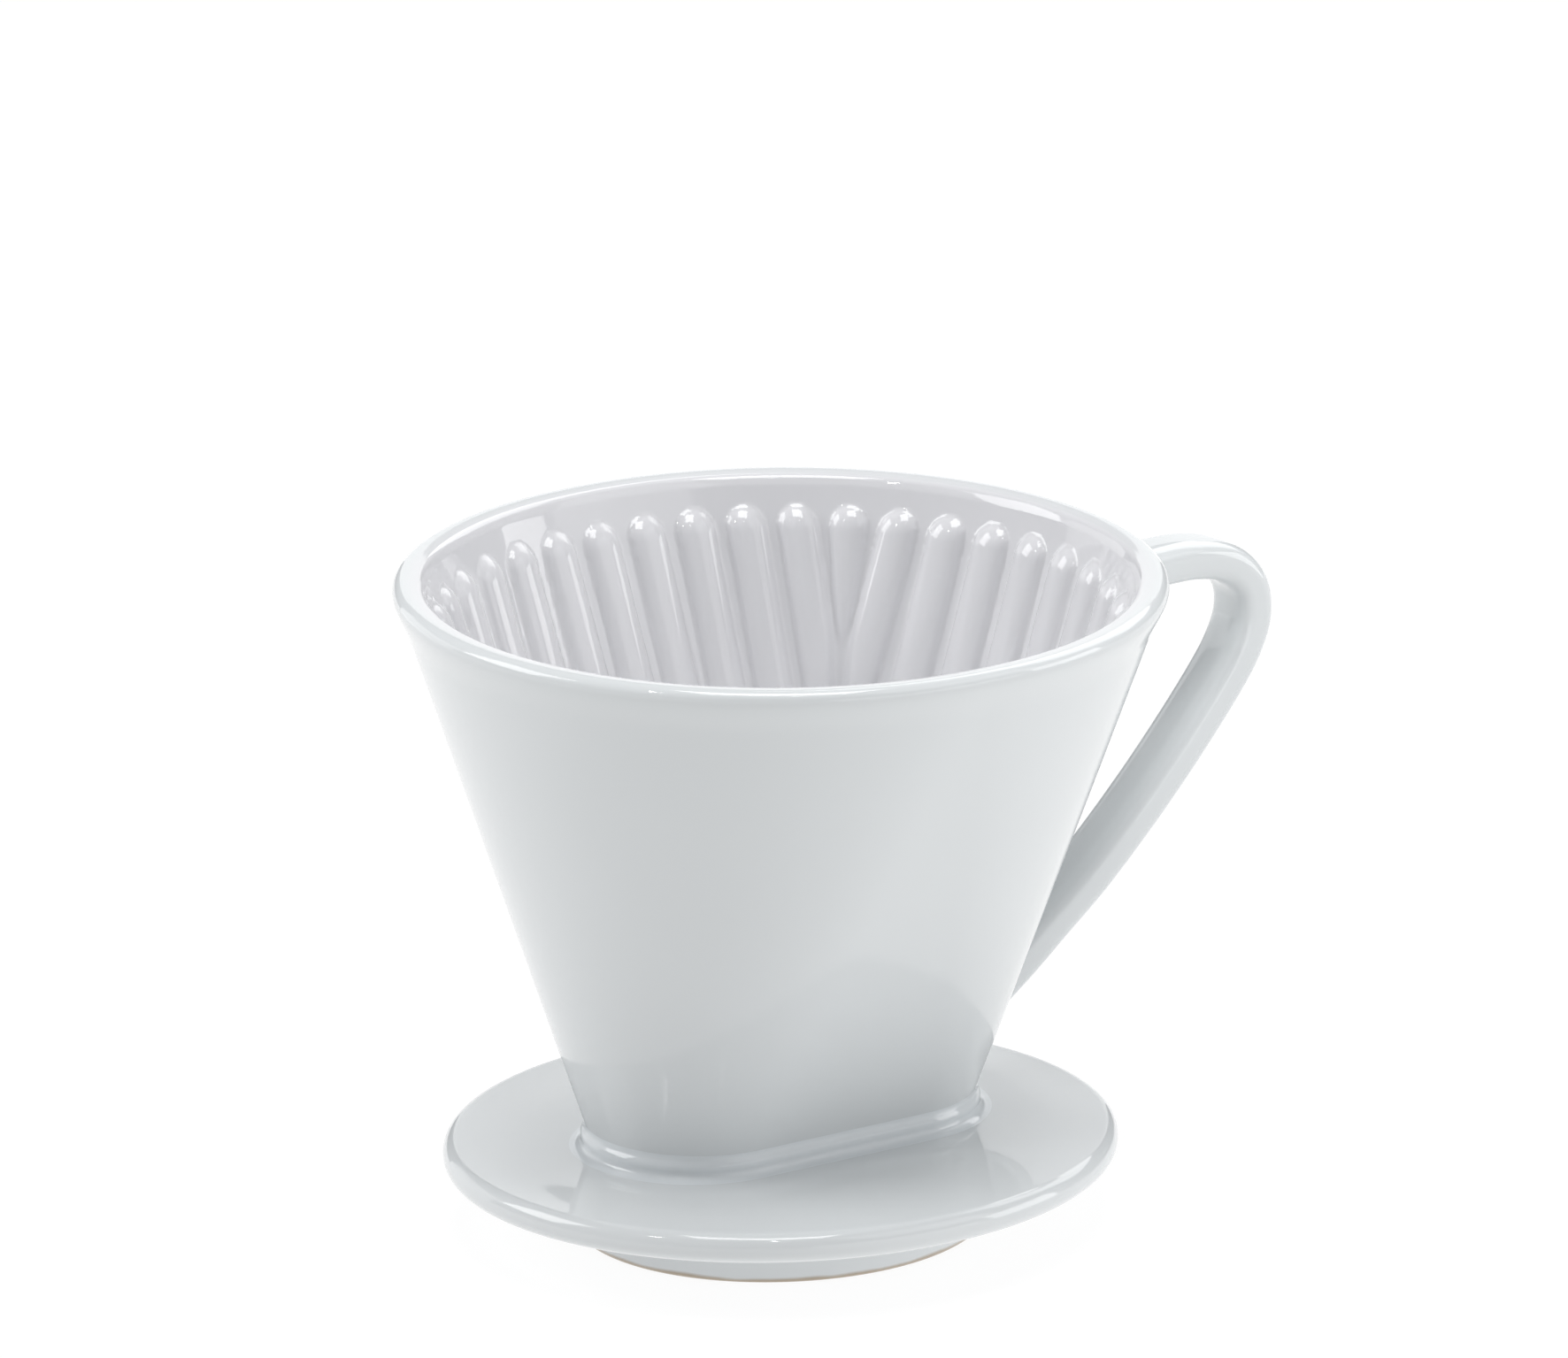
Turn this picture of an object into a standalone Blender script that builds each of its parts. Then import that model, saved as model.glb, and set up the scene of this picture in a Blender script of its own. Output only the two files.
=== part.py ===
"""A pour over coffee dripper in glazed porcelain, modelled as the clay pieces it is luted from.

The ribbed filter cone narrows from an oval rim to a slot with a row of drain holes. It stands on an
oval base plate with a foot ring below, and a strap handle is joined to its narrow end with slip.
Metres, +Z up. The slot's long axis is X, the handle is at +X, and the foot ring rests on z = 0.
"""

import math

import bmesh
import bpy

GAP = 0.0003  # clearance between neighbouring pieces
WELD = 0.00001  # points closer than this are one point

# Heights
HEIGHT = 0.1085  # top of the lip
PLATE_TOP = 0.0157
PLATE_UNDERSIDE = 0.0102
LIP_RADIUS = 0.0026
LIP_FLARE = 0.0005  # how far the lip stands out from the wall below it
LIP_LEVEL = HEIGHT - LIP_RADIUS
LIP_FOOT = LIP_LEVEL - 0.0050  # where the wall starts to swell into the lip
WALL_FOOT = PLATE_TOP + GAP

# Cone, measured on the outer face of its wall
RIM_HALF_LENGTH = 0.0620
RIM_HALF_WIDTH = 0.0601
RIM_STRAIGHT = 0.0012
SLOT_STRAIGHT = 0.0170  # half of the slot's straight part
SLOT_RADIUS = 0.0163
WALL = 0.0048  # wall thickness, measured level
LIP_FALL = 0.0003  # how far the lip's top falls towards its inner edge
INNER_EDGE = 0.0009  # rounding of that edge

# Ribs on the inner face
RIB_PITCHES = 10  # in each quarter, with a rib at both of its ends
RIB_RADIUS = 0.0027
RIB_SINK = 0.0010  # depth of the rib's centre line behind the inner face
RIB_TOP = 0.1027
RIB_END = PLATE_TOP + 0.0030
SIDE_SPREAD = 0.78  # how much of its distance from the middle a side rib keeps at the foot
END_SPREAD = 0.76
MITRE_GAP = 0.0044  # room left between a rib's end and the mitre line
SHORT_RIB = 0.0200
RIB_STEPS = 6
DOME_SHARE = 0.03  # share of a rib's length over which its top end rounds off
RIB_TOP_SIZE = 0.55  # size of a rib's bar at its very ends, as a share of its full size
RIB_TIP_SIZE = 0.5
RIB_SEARCH_STEP = 0.0005

# Oval base: lengths along the slot, and what share of them the base measures across it
BASE_OVAL = 0.92
PLATE_RADIUS = 0.0560
PLATE_CROWN = 0.0006
PLATE_EDGE = 0.0022
PLATE_FLAT = 0.0370  # radius of the flat middle of the plate's top
RECESS = 0.0006  # depth of the seat for the foot ring in the plate's underside
FOOT_RADIUS = 0.0346
FOOT_THICKNESS = 0.0042
FOOT_FLAT = 0.0024
FOOT_HIP = (0.0006, 0.0004)  # first step of the rounding beside the flat, outward and up
FOOT_ROUND = 0.0018

# Perforated floor
FLOOR_THICKNESS = 0.0046
HOLE_RADIUS = 0.0025
HOLE_PITCH = 0.0140

# Slip bead where the cone meets the plate
BEAD_RADIUS = 0.0015
BEAD_OFFSET = 0.0029

# Strap handle: centre line as distance from the cone's axis and height
STRAP_WIDTH = 0.0105
STRAP_THICKNESS = 0.0067
STRAP_ROUND = 0.0024
STRAP_ROUTE = (
    (0.0503, 0.0978),
    (0.0601, 0.0979),
    (0.0698, 0.0981),
    (0.0790, 0.0982),
    (0.0859, 0.0965),
    (0.0900, 0.0924),
    (0.0908, 0.0871),
    (0.0891, 0.0820),
    (0.0856, 0.0766),
    (0.0781, 0.0674),
    (0.0694, 0.0578),
    (0.0596, 0.0481),
    (0.0515, 0.0413),
    (0.0449, 0.0358),
    (0.0375, 0.0302),
    (0.0286, 0.0235),
)
SEAM_GROWTH = 0.0016  # how far the slip collars stand out around the strap
SEAM_LENGTH = 0.0022

GLAZE = (0.86, 0.87, 0.89)
BARE_CLAY = (0.78, 0.72, 0.62)


def clear_scene():
    for obj in list(bpy.data.objects):
        bpy.data.objects.remove(obj, do_unlink=True)


def new_collection(name, is_helper=False):
    collection = bpy.data.collections.new(name)
    bpy.context.scene.collection.children.link(collection)
    collection.hide_render = is_helper
    return collection


def porcelain(name, colour, roughness, coat):
    material = bpy.data.materials.new(name)
    material.use_nodes = True
    shader = material.node_tree.nodes["Principled BSDF"]
    shader.inputs["Base Color"].default_value = (*colour, 1.0)
    shader.inputs["Roughness"].default_value = roughness
    shader.inputs["Metallic"].default_value = 0.0
    shader.inputs["Coat Weight"].default_value = coat
    return material


def add_mesh(name, mesh, collection, material=None):
    obj = bpy.data.objects.new(name, mesh)
    collection.objects.link(obj)
    if material:
        mesh.materials.append(material)
    return obj


def mesh_from(name, points, faces):
    mesh = bpy.data.meshes.new(name)
    mesh.from_pydata(points, [], faces)
    form = bmesh.new()
    form.from_mesh(mesh)
    bmesh.ops.recalc_face_normals(form, faces=form.faces)
    form.to_mesh(mesh)
    form.free()
    return mesh


def smooth(obj, sharp_angle=40.0):
    obj.data.shade_smooth()
    obj.data.set_sharp_from_angle(angle=math.radians(sharp_angle))


def as_mesh(curve_object, collection):
    """The curve's tube as a welded mesh object; the curve itself is removed."""
    bpy.context.view_layer.update()
    graph = bpy.context.evaluated_depsgraph_get()
    mesh = bpy.data.meshes.new_from_object(curve_object.evaluated_get(graph))
    form = bmesh.new()
    form.from_mesh(mesh)
    bmesh.ops.remove_doubles(form, verts=form.verts, dist=WELD)
    bmesh.ops.recalc_face_normals(form, faces=form.faces)
    form.to_mesh(mesh)
    form.free()
    name = curve_object.name
    bpy.data.objects.remove(curve_object, do_unlink=True)
    return add_mesh(name, mesh, collection)


def join_or_cut(obj, other, operation):
    modifier = obj.modifiers.new(f"{operation.lower()} {other.name}", "BOOLEAN")
    modifier.operation = operation
    modifier.object = other
    modifier.solver = "EXACT"


def make_helper(obj):
    obj.hide_render = True
    obj.display_type = "WIRE"


def cone_share(height):
    """0 at the wall's foot and 1 at the lip."""
    return (height - WALL_FOOT) / (LIP_LEVEL - WALL_FOOT)


def cone_point(normal, side, height, inset=0.0):
    """Point of the cone whose level outward normal has this angle.

    Every level section lies between the slot's outline and the oval rim, point for point of equal normal.
    side is +1 or -1, the end of the slot's straight part that the point belongs to, or 0, its middle.
    """
    share = cone_share(height)
    across, along = math.cos(normal), math.sin(normal)
    rim_length = RIM_HALF_LENGTH - RIM_STRAIGHT
    reach = math.hypot(rim_length * across, RIM_HALF_WIDTH * along)
    straight = (1 - share) * SLOT_STRAIGHT + share * RIM_STRAIGHT
    arc = (1 - share) * SLOT_RADIUS - inset
    x = side * straight + arc * across + share * rim_length**2 * across / reach
    y = arc * along + share * RIM_HALF_WIDTH**2 * along / reach
    return (x, y, height)


def cone_columns(steps_per_quarter):
    """Normals and sides once round the cone. A quarter that ends on a straight part has a last column."""
    columns = []
    for quarter, (side, last) in enumerate(((1, 1), (-1, 0), (-1, 1), (1, 0))):
        for step in range(steps_per_quarter + last):
            columns.append((math.pi / 2 * (quarter + step / steps_per_quarter), side))
    return columns


def cone_loft(name, rings, is_shell, steps_per_quarter=16):
    """Loft through (inset, height) rings: closed on itself for a shell, capped at both ends otherwise."""
    columns = cone_columns(steps_per_quarter)
    count = len(columns)
    points = [cone_point(a, side, z, inset) for inset, z in rings for a, side in columns]
    pairs = len(rings) if is_shell else len(rings) - 1
    faces = []
    for ring in range(pairs):
        low, high = ring * count, (ring + 1) % len(rings) * count
        for i in range(count):
            j = (i + 1) % count
            faces.append((low + i, low + j, high + j, high + i))
    if not is_shell:
        faces.append(tuple(range(count)))
        faces.append(tuple(range(len(points) - count, len(points))))
    return mesh_from(name, points, faces)


def wall_rings():
    """The wall's section, up the outer face, over the rolled lip and down the inner face."""
    outer = [(0.0, WALL_FOOT + step / 3 * (LIP_FOOT - WALL_FOOT)) for step in range(4)]
    centre = LIP_RADIUS - LIP_FLARE
    lip = []
    for degrees in (-30, 0, 30, 60, 90):
        angle = math.radians(degrees)
        lip.append((centre - LIP_RADIUS * math.cos(angle), LIP_LEVEL + LIP_RADIUS * math.sin(angle)))
    edge_top = HEIGHT - LIP_FALL
    inner_edge = [(WALL - INNER_EDGE, edge_top), (WALL, edge_top - INNER_EDGE)]
    inner = [(WALL, RIB_TOP - step / 4 * (RIB_TOP - WALL_FOOT)) for step in range(5)]
    return outer + lip + inner_edge + inner


def first_quarter_point(height, inset, x=None, y=None):
    """Point of the inner face in the first quarter that has this x or this y."""
    low, high = 0.0, math.pi / 2
    for _ in range(40):
        middle = (low + high) / 2
        point = cone_point(middle, 1, height, inset)
        is_before = point[0] > x if x is not None else point[1] < y
        if is_before:
            low = middle
        else:
            high = middle
    point = cone_point(low, 1, height, inset)
    return low, (point[0] if x is None else x, point[1], height)


def rib_tops():
    """Points of the first quarter at which the ribs start, evenly spaced along the wall.

    The last rib starts in the middle of the wall's straight part.
    """
    steps = 400
    points = [cone_point(math.pi / 2 * i / steps, 1, RIB_TOP, WALL) for i in range(steps + 1)]
    lengths = [0.0]
    for a, b in zip(points, points[1:]):
        lengths.append(lengths[-1] + math.dist(a, b))
    total = lengths[-1] + points[-1][0]
    tops = []
    for rib in range(RIB_PITCHES + 1):
        wanted = rib / RIB_PITCHES * total
        index = next((i for i, length in enumerate(lengths) if length >= wanted), steps)
        side = 0 if rib == RIB_PITCHES else 1
        tops.append(cone_point(math.pi / 2 * index / steps, side, RIB_TOP, WALL - RIB_SINK))
    return tops


def rib_point(top, height, is_side_rib):
    """Where the centre line of a rib that starts at this top point passes a height, and its normal."""
    share = (RIB_TOP - height) / (RIB_TOP - RIB_END)
    spread = 1 - (1 - (SIDE_SPREAD if is_side_rib else END_SPREAD)) * share
    if is_side_rib:
        return first_quarter_point(height, WALL - RIB_SINK, x=top[0] * spread)
    return first_quarter_point(height, WALL - RIB_SINK, y=top[1] * spread)


def rib_end(top, is_side_rib):
    """The height at which a rib ends: near the floor, or before it reaches the mitre."""
    height = RIB_TOP
    while height > RIB_END:
        normal, point = rib_point(top, height - RIB_SEARCH_STEP, is_side_rib)
        mitre = cone_point(math.pi / 4, 1, height, WALL - RIB_SINK)
        is_past_mitre = (normal > math.pi / 4) != is_side_rib
        if is_past_mitre or math.dist(point, mitre) < MITRE_GAP:
            break
        height -= RIB_SEARCH_STEP
    return height


def short_rib_point(end_top, side_top, height):
    """Where the short rib passes a height: half way between its two neighbours."""
    end_normal, _ = rib_point(end_top, height, is_side_rib=False)
    side_normal, _ = rib_point(side_top, height, is_side_rib=True)
    return cone_point((end_normal + side_normal) / 2, 1, height, WALL - RIB_SINK)


def rib_route(tops, rib):
    """Centre line of one rib in the first quarter, from its top down the wall.

    Ribs on the long sides run square to the slot and those at the ends run along it, so they meet
    at a mitre half way between, where one short rib fades out.
    """
    middle = RIB_PITCHES // 2
    is_short = rib == middle
    is_side_rib = rib > middle
    end = RIB_TOP - SHORT_RIB if is_short else rib_end(tops[rib], is_side_rib)
    route = []
    for share in (0.0, DOME_SHARE, *(step / RIB_STEPS for step in range(1, RIB_STEPS + 1))):
        height = RIB_TOP - (RIB_TOP - end) * share
        if is_short:
            route.append(short_rib_point(tops[middle - 1], tops[middle + 1], height))
        else:
            route.append(rib_point(tops[rib], height, is_side_rib)[1])
    return route


def mirrored_sides(rib):
    """The quarters that a rib of the first quarter is mirrored into, without repeating one on an axis."""
    sides_x = (1,) if rib == RIB_PITCHES else (1, -1)
    sides_y = (1,) if rib == 0 else (1, -1)
    return [(side_x, side_y) for side_x in sides_x for side_y in sides_y]


def rib_bars(collection):
    """All ribs as round bars half sunk in the wall."""
    curve = bpy.data.curves.new("rib_bars", "CURVE")
    curve.dimensions = "3D"
    curve.bevel_depth = RIB_RADIUS
    curve.bevel_resolution = 1
    curve.use_fill_caps = True
    tops = rib_tops()
    for rib in range(len(tops)):
        route = rib_route(tops, rib)
        for side_x, side_y in mirrored_sides(rib):
            spline = curve.splines.new("POLY")
            spline.points.add(len(route) - 1)
            for i, point in enumerate(route):
                spline.points[i].co = (point[0] * side_x, point[1] * side_y, point[2], 1.0)
            spline.points[0].radius = RIB_TOP_SIZE
            spline.points[len(route) - 1].radius = RIB_TIP_SIZE
    bars = bpy.data.objects.new("rib_bars", curve)
    collection.objects.link(bars)
    return as_mesh(bars, collection)


def filter_cone(collection, helpers, material):
    cone = add_mesh("filter_cone", cone_loft("filter_cone", wall_rings(), True), collection, material)
    bars = rib_bars(helpers)
    make_helper(bars)
    join_or_cut(cone, bars, "UNION")
    smooth(cone)
    return cone


def slot_outline(straight, radius, steps=12):
    """A stadium outline, counter-clockwise."""
    outline = []
    for side, start in ((1, -math.pi / 2), (-1, math.pi / 2)):
        for step in range(steps + 1):
            angle = start + math.pi * step / steps
            outline.append((side * straight + radius * math.cos(angle), radius * math.sin(angle)))
    return outline


def circle_outline(x, radius, steps=20):
    turns = [2 * math.pi * step / steps for step in range(steps)]
    return [(x + radius * math.cos(a), radius * math.sin(a)) for a in turns]


def flat_piece(name, outlines, bottom, top, collection):
    """A flat plate between two heights, with its first outline filled and the others left open."""
    curve = bpy.data.curves.new(name, "CURVE")
    curve.dimensions = "2D"
    curve.fill_mode = "BOTH"
    curve.extrude = (top - bottom) / 2
    for outline in outlines:
        spline = curve.splines.new("POLY")
        spline.points.add(len(outline) - 1)
        for i, (x, y) in enumerate(outline):
            spline.points[i].co = (x, y, 0.0, 1.0)
        spline.use_cyclic_u = True
    piece = bpy.data.objects.new(name, curve)
    collection.objects.link(piece)
    piece = as_mesh(piece, collection)
    piece.location.z = (top + bottom) / 2
    return piece


def drain_floor(collection, material):
    holes = [circle_outline(i * HOLE_PITCH, HOLE_RADIUS) for i in (-1, 0, 1)]
    outline = slot_outline(SLOT_STRAIGHT, SLOT_RADIUS - WALL - GAP)
    bottom = PLATE_TOP - FLOOR_THICKNESS
    floor = flat_piece("drain_floor", [outline, *holes], bottom, PLATE_TOP, collection)
    floor.data.materials.append(material)
    smooth(floor)


def turned(name, profile, is_ring, collection, material, steps=72):
    """A profile turned round Z and squeezed to the base's oval.

    The profile is closed for a ring, or starts and ends on the axis for a disc.
    """
    edges = [(i, i + 1) for i in range(len(profile) - 1)]
    if is_ring:
        edges.append((len(profile) - 1, 0))
    mesh = bpy.data.meshes.new(name)
    mesh.from_pydata([(r, 0.0, z) for r, z in profile], edges, [])
    piece = add_mesh(name, mesh, collection, material)
    screw = piece.modifiers.new("turn", "SCREW")
    screw.axis = "Z"
    screw.steps = steps
    screw.render_steps = steps
    screw.use_merge_vertices = True
    screw.merge_threshold = WELD
    screw.use_smooth_shade = True
    piece.scale.y = BASE_OVAL
    return piece


def base_plate(collection, helpers, material):
    """A disc with a crowned top and a rounded edge, open below the cone for the perforated floor.

    Its underside is recessed inside the foot ring, so the flat that rests on a cup is a plain ring.
    """
    edge_level = (PLATE_TOP - PLATE_CROWN + PLATE_UNDERSIDE) / 2
    edge_height = (PLATE_TOP - PLATE_CROWN - PLATE_UNDERSIDE) / 2
    profile = [(0.0, PLATE_TOP), (PLATE_FLAT, PLATE_TOP)]
    for degrees in range(90, -91, -30):
        angle = math.radians(degrees)
        x = PLATE_RADIUS - PLATE_EDGE + PLATE_EDGE * math.cos(angle)
        profile.append((x, edge_level + edge_height * math.sin(angle)))
    profile.append((FOOT_RADIUS + GAP, PLATE_UNDERSIDE))
    profile.append((FOOT_RADIUS + GAP, PLATE_UNDERSIDE + RECESS))
    profile.append((0.0, PLATE_UNDERSIDE + RECESS))
    plate = turned("base_plate", profile, False, collection, material)
    outline = slot_outline(SLOT_STRAIGHT, SLOT_RADIUS - WALL)
    margin = PLATE_TOP - PLATE_UNDERSIDE
    cutter = flat_piece("slot_cutter", [outline], PLATE_UNDERSIDE - margin, PLATE_TOP + margin, helpers)
    make_helper(cutter)
    join_or_cut(plate, cutter, "DIFFERENCE")


def foot_ring(collection, material):
    """The locating ring below the plate, with a flat unglazed edge to stand on."""
    middle = FOOT_RADIUS - FOOT_THICKNESS / 2
    top = PLATE_UNDERSIDE + RECESS - GAP
    half_flat = FOOT_FLAT / 2
    half_hip, hip = half_flat + FOOT_HIP[0], FOOT_HIP[1]
    half = FOOT_THICKNESS / 2
    outer = [(half, top), (half, FOOT_ROUND), (half_hip, hip), (half_flat, 0.0)]
    inner = [(-distance, height) for distance, height in reversed(outer)]
    profile = [(middle + distance, height) for distance, height in outer + inner]
    turned("foot_ring", profile, True, collection, material)


def seam_bead(collection, material):
    """A closed roll of slip round the foot of the cone."""
    curve = bpy.data.curves.new("seam_bead", "CURVE")
    curve.dimensions = "3D"
    curve.bevel_depth = BEAD_RADIUS
    curve.bevel_resolution = 2
    outline = slot_outline(SLOT_STRAIGHT, SLOT_RADIUS + BEAD_OFFSET, 20)
    spline = curve.splines.new("POLY")
    spline.points.add(len(outline) - 1)
    for i, (x, y) in enumerate(outline):
        spline.points[i].co = (x, y, PLATE_TOP + GAP + BEAD_RADIUS, 1.0)
    spline.use_cyclic_u = True
    bead = bpy.data.objects.new("seam_bead", curve)
    collection.objects.link(bead)
    bead = as_mesh(bead, collection)
    bead.data.materials.append(material)
    bead.data.shade_smooth()


def rounded_section(name, width, thickness, radius, collection):
    """The strap's section, as a closed flat curve that a bevel follows."""
    outline = []
    for quarter, (sx, sy) in enumerate(((1, 1), (-1, 1), (-1, -1), (1, -1))):
        for step in range(4):
            angle = math.pi / 2 * (quarter + step / 3)
            x = sx * (width / 2 - radius) + radius * math.cos(angle)
            y = sy * (thickness / 2 - radius) + radius * math.sin(angle)
            outline.append((x, y))
    curve = bpy.data.curves.new(name, "CURVE")
    curve.dimensions = "2D"
    spline = curve.splines.new("POLY")
    spline.points.add(len(outline) - 1)
    for i, (x, y) in enumerate(outline):
        spline.points[i].co = (x, y, 0.0, 1.0)
    spline.use_cyclic_u = True
    section = bpy.data.objects.new(name, curve)
    collection.objects.link(section)
    return section


def smooth_route(points, steps=2):
    """The route's points with Catmull-Rom points between them."""
    route = []
    ends = [points[0], *points, points[-1]]
    for before, a, b, after in zip(ends, ends[1:], ends[2:], ends[3:]):
        for step in range(steps):
            t = step / steps
            route.append(
                tuple(
                    a[i]
                    + 0.5 * t * (b[i] - before[i])
                    + t * t * (before[i] - 2.5 * a[i] + 2 * b[i] - 0.5 * after[i])
                    + t**3 * (1.5 * (a[i] - b[i]) + 0.5 * (after[i] - before[i]))
                    for i in range(2)
                )
            )
    route.append(points[-1])
    return route


def strap(name, points, growth, collection):
    """A length of the handle's strap along part of its route, grown all round by a margin."""
    section = rounded_section(
        f"{name}_section",
        STRAP_WIDTH + 2 * growth,
        STRAP_THICKNESS + 2 * growth,
        STRAP_ROUND + growth,
        collection,
    )
    curve = bpy.data.curves.new(name, "CURVE")
    curve.dimensions = "3D"
    curve.bevel_mode = "OBJECT"
    curve.bevel_object = section
    curve.use_fill_caps = True
    route = smooth_route(points)
    spline = curve.splines.new("POLY")
    spline.points.add(len(route) - 1)
    for i, (x, z) in enumerate(route):
        spline.points[i].co = (x, 0.0, z, 1.0)
    piece = bpy.data.objects.new(name, curve)
    collection.objects.link(piece)
    piece = as_mesh(piece, collection)
    bpy.data.objects.remove(section, do_unlink=True)
    return piece


def solid_cone(name, growth, collection):
    """The cone as a solid grown by a level margin, for cutting what meets its outer face."""
    flared = -growth - LIP_FLARE
    rings = [(-growth, WALL_FOOT), (-growth, LIP_FOOT), (flared, LIP_LEVEL), (flared, HEIGHT)]
    cone = add_mesh(name, cone_loft(name, rings, False), collection)
    make_helper(cone)
    return cone


def handle(collection, helpers, material):
    """The strap, cut to the cone's outer face at both ends."""
    grip = strap("handle", STRAP_ROUTE, 0.0, collection)
    grip.data.materials.append(material)
    join_or_cut(grip, solid_cone("handle_cutter", GAP, helpers), "DIFFERENCE")
    smooth(grip)


def handle_seams(collection, helpers, material):
    """Collars of slip round the strap where it meets the cone."""
    near_face = solid_cone("seam_inner_cutter", GAP, helpers)
    far_face = solid_cone("seam_outer_limit", GAP + SEAM_LENGTH, helpers)
    ends = (("handle_upper_seam", STRAP_ROUTE[:4]), ("handle_lower_seam", STRAP_ROUTE[-4:]))
    for name, points in ends:
        collar = strap(name, points, SEAM_GROWTH, collection)
        collar.data.materials.append(material)
        core = strap(f"{name}_core", points, GAP, helpers)
        make_helper(core)
        join_or_cut(collar, far_face, "INTERSECT")
        join_or_cut(collar, near_face, "DIFFERENCE")
        join_or_cut(collar, core, "DIFFERENCE")
        smooth(collar)


def centre_over_origin(collections):
    """Slide everything along X, so that the box from the rim's far end to the handle is centred."""
    strap_end = max(x for x, _ in smooth_route(STRAP_ROUTE)) + STRAP_THICKNESS / 2
    rim_end = max(cone_point(0.0, 1, height, inset)[0] for inset, height in wall_rings())
    middle = (strap_end - rim_end) / 2
    for collection in collections:
        for obj in collection.objects:
            obj.location.x -= middle


def build():
    clear_scene()
    dripper = new_collection("pour_over_dripper")
    helpers = new_collection("cutters", is_helper=True)
    glaze = porcelain("white_glaze", GLAZE, 0.12, 0.6)
    bare = porcelain("bare_foot_edge", BARE_CLAY, 0.8, 0.0)
    filter_cone(dripper, helpers, glaze)
    drain_floor(dripper, glaze)
    base_plate(dripper, helpers, glaze)
    foot_ring(dripper, bare)
    seam_bead(dripper, glaze)
    handle(dripper, helpers, glaze)
    handle_seams(dripper, helpers, glaze)
    centre_over_origin((dripper, helpers))


build()
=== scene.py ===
"""Looks for the glazed porcelain pour over dripper.

Fine meshes stand for the CAD's clay pieces, in the same places and inside the same box: the ribbed
cone, its floor, the plate, the foot ring, the slip bead and the strap handle with its slip seams.
"""

import math

import bmesh
import bpy
import numpy as np
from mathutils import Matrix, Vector


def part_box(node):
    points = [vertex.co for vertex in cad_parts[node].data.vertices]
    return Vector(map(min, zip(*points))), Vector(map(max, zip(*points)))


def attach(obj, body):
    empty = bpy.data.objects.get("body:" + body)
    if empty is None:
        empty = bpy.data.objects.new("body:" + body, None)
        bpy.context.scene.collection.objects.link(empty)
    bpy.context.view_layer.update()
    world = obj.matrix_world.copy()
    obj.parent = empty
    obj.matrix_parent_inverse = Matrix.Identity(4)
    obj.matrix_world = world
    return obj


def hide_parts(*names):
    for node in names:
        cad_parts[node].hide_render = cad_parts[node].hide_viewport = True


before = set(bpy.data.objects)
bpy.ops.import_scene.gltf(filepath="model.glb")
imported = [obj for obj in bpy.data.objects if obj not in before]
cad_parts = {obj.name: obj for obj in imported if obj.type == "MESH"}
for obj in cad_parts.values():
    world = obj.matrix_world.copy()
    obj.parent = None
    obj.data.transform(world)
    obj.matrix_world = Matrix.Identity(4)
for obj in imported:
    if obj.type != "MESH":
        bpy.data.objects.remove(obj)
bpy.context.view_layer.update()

MM = 0.001
WELD = 0.001 * MM  # points closer than this are one point

# Sizes read from the frame
CONE_LOW, CONE_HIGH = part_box("filter_cone")
PLATE_LOW, PLATE_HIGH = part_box("base_plate")
RING_LOW, RING_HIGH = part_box("foot_ring")
STRAP_LOW, STRAP_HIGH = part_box("handle")

AXIS = (CONE_LOW.x + CONE_HIGH.x) / 2  # the cone's axis, from which the meshes below are measured
HEIGHT = CONE_HIGH.z
PLATE_TOP = PLATE_HIGH.z
PLATE_UNDERSIDE = PLATE_LOW.z
PLATE_RADIUS = (PLATE_HIGH.x - PLATE_LOW.x) / 2
BASE_OVAL = (PLATE_HIGH.y - PLATE_LOW.y) / (PLATE_HIGH.x - PLATE_LOW.x)
FOOT_RADIUS = (RING_HIGH.x - RING_LOW.x) / 2
WALL_FOOT = PLATE_TOP

# Lip and wall, as in the CAD
LIP_RADIUS = 2.6 * MM
LIP_FLARE = 0.5 * MM
LIP_LEVEL = HEIGHT - LIP_RADIUS
LIP_FOOT = LIP_LEVEL - 5.0 * MM
RIM_HALF_LENGTH = 62.0 * MM
RIM_HALF_WIDTH = 60.1 * MM
RIM_STRAIGHT = 1.2 * MM
SLOT_STRAIGHT = 17.0 * MM
SLOT_RADIUS = 16.3 * MM
WALL = 4.8 * MM
LIP_FALL = 0.25 * MM  # how far the lip's top slopes down towards the inside
INNER_EDGE = 0.9 * MM

# Ribs
RIB_PITCHES = 10  # in each quarter, with a rib at both of its ends
RIB_TOP = 102.7 * MM
RIB_DOME = 2.4 * MM
RIB_HALF_WIDTH = 3.3 * MM
RIB_HEIGHT = 2.0 * MM
RIB_FILLET = 0.7 * MM
RIB_END = PLATE_TOP + 2.0 * MM
SIDE_SPREAD = 0.78  # the side ribs' distances apart at their feet, as a share of those at their tops
END_SPREAD = 0.76
SHORT_RIB = 20.0 * MM
MITRE_FADE = 2.4 * MM
NARROWEST_RIB = 1e-6  # keeps a rib that has run out from dividing by zero
LEAST_SLOPE = 0.5  # limits how much distances stretch where the wall turns along a rib's line

# Floor, plate and foot ring
DRIP_HOLE_RADIUS = 2.5 * MM
DRIP_HOLE_PITCH = 14.0 * MM
FLOOR_GAP = 0.3 * MM
FLOOR_EDGE = 0.6 * MM
FLOOR_SHARP_ANGLE = math.radians(35)
PLATE_CROWN = 0.6 * MM
CROWN_START = 0.5  # share of the way out from the slot where the plate starts to fall
PLATE_EDGE = 2.2 * MM
FOOT_THICKNESS = 4.2 * MM
FOOT_EDGE = 0.85 * MM
FOOT_SUNK = 0.3 * MM  # how far the ring runs up into the plate


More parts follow.
